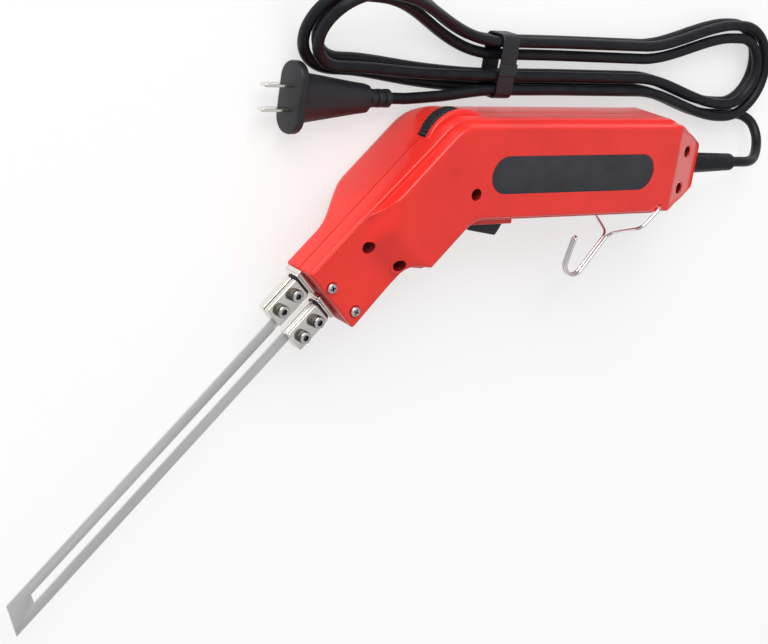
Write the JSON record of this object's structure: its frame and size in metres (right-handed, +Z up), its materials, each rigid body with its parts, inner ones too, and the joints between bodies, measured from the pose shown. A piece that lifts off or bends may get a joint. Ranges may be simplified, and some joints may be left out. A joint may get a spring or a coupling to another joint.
{
  "type": "electric hot knife",
  "caption": "Red corded hot knife with a bent two-shell body, bright clamp terminals, a long slotted steel blade, temperature dial, trigger, swinging wire hook and a tied black cord",
  "frame": {"origin": "middle of the flat outer face of the transformer bay, on the floor", "axes": "X along the handle to the tail, Y to the dial side, Z up through the label flank"},
  "size_m": [0.5063, 0.337, 0.054],
  "materials": {
    "red_shell": "fine satin moulded texture",
    "label_grey": "smooth satin plate",
    "black_plastic": "satin moulded",
    "black_rubber": "soft satin",
    "zinc_steel": "bright zinc",
    "nickel_plate": "bright plated",
    "blade_steel": "flat rolled",
    "chrome_wire": "polished",
    "copper_strap": "bare copper",
    "brass_parts": "bare brass",
    "core_iron": "laminated",
    "white_nylon": "moulded",
    "insulator": "matt",
    "board_green": "lacquered board",
    "bare_aluminium": "folded sheet",
    "lead_brown": "insulated wire"
  },
  "bodies": {
    "tool": {"left_housing": "red_shell", "right_housing": "red_shell", "rating_label": "label_grey", "housing_screws": "zinc_steel", "nose_screws": "zinc_steel", "nose_insulator": "insulator", "upper_terminal": "nickel_plate", "lower_terminal": "nickel_plate", "upper_clamp_plate": "nickel_plate", "lower_clamp_plate": "nickel_plate", "clamp_screws": "zinc_steel", "blade": "blade_steel", "terminal_nuts": "brass_parts", "secondary_strap": "copper_strap", "transformer_core": "core_iron", "transformer_bobbin": "white_nylon", "primary_winding": "copper_strap", "control_board": "board_green", "potentiometer": "zinc_steel", "triac": "black_plastic", "heat_sink": "bare_aluminium", "capacitor": "white_nylon", "trigger_pin": "zinc_steel", "trigger_spring": "zinc_steel", "switch_body": "black_plastic", "cord_end": "black_rubber", "cord_clamp": "black_plastic", "cord_clamp_screws": "zinc_steel", "internal_leads": "lead_brown", "strain_relief": "black_rubber", "power_cord": "black_rubber", "cord_hank": "black_rubber", "cord_tie": "black_plastic", "plug_body": "black_plastic", "plug_pins": "nickel_plate"},
    "dial": {"dial_wheel": "black_plastic"},
    "trigger_lever": {"trigger": "black_plastic"},
    "plunger": {"switch_plunger": "white_nylon"},
    "hook": {"hanging_hook": "chrome_wire"}
  },
  "joints": [
    {"name": "trigger_pull", "type": "hinge", "parent": "tool", "child": "trigger_lever", "pos_m": [0.031, -0.009, 0.031], "axis": [0, 0, 1], "range_deg": [0, 8], "stiffness_Nm_per_rad": 0.4, "springref_deg": -5.73, "deforming": ["trigger_spring"]},
    {"name": "plunger_slide", "type": "slide", "parent": "tool", "child": "plunger", "axis": [0, 1, 0], "range_m": [0, 0.0026]},
    {"name": "dial_turn", "type": "hinge", "parent": "tool", "child": "dial", "pos_m": [0.0117, 0.0275, 0.031], "axis": [0, 0, 1], "range_deg": [-135, 135]},
    {"name": "hook_swing", "type": "hinge", "parent": "tool", "child": "hook", "pos_m": [0.163, -0.0085, 0.031], "axis": [0, 0, 1], "range_deg": [-18, 105]}
  ],
  "couplings": [
    {"joint": "plunger_slide", "follows": "trigger_pull", "m_per_rad": 0.017}
  ]
}
